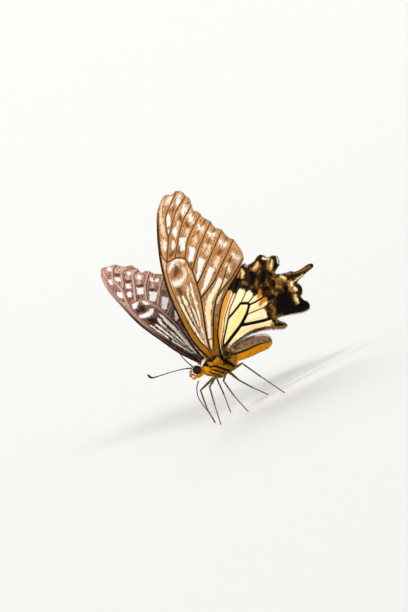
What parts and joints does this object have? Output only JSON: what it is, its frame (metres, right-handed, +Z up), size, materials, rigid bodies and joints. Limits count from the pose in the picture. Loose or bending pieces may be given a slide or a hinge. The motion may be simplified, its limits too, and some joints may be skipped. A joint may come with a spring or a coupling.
{
  "type": "swallowtail butterfly",
  "caption": "Tailed butterfly standing with raised, half-spread wings, feelers forward and its sucking tube let down to the ground.",
  "frame": {"origin": "on the floor, under the middle of the whole animal's box", "axes": "+Z up, the head towards -Y, the animal's left side towards +X"},
  "size_m": [0.0512, 0.0546, 0.0643],
  "materials": {
    "body_hair": "soft hair, ochre with black lines",
    "abdomen_scales": "matte scales and short hair",
    "forewing_scales": "matte scales on a thin membrane",
    "hindwing_scales": "matte scales on a thin membrane",
    "leg_horn": "satin brown horn",
    "dark_horn": "satin dark horn",
    "eye": "glossy"
  },
  "bodies": {
    "root": {"thorax": "body_hair", "head": "body_hair", "abdomen": "abdomen_scales", "eye_left": "eye", "antenna_left": "dark_horn", "palp_left": "body_hair", "forewing_left": "forewing_scales", "hindwing_left": "hindwing_scales", "eye_right": "eye", "antenna_right": "dark_horn", "palp_right": "body_hair", "forewing_right": "forewing_scales", "hindwing_right": "hindwing_scales", "proboscis": "dark_horn", "femur_fore_left": "leg_horn", "tibia_fore_left": "leg_horn", "tarsus_fore_left": "leg_horn", "femur_fore_right": "leg_horn", "tibia_fore_right": "leg_horn", "tarsus_fore_right": "leg_horn", "femur_mid_left": "leg_horn", "tibia_mid_left": "leg_horn", "tarsus_mid_left": "leg_horn", "femur_mid_right": "leg_horn", "tibia_mid_right": "leg_horn", "tarsus_mid_right": "leg_horn", "femur_hind_left": "leg_horn", "tibia_hind_left": "leg_horn", "tarsus_hind_left": "leg_horn", "femur_hind_right": "leg_horn", "tibia_hind_right": "leg_horn", "tarsus_hind_right": "leg_horn"}
  },
  "joints": []
}
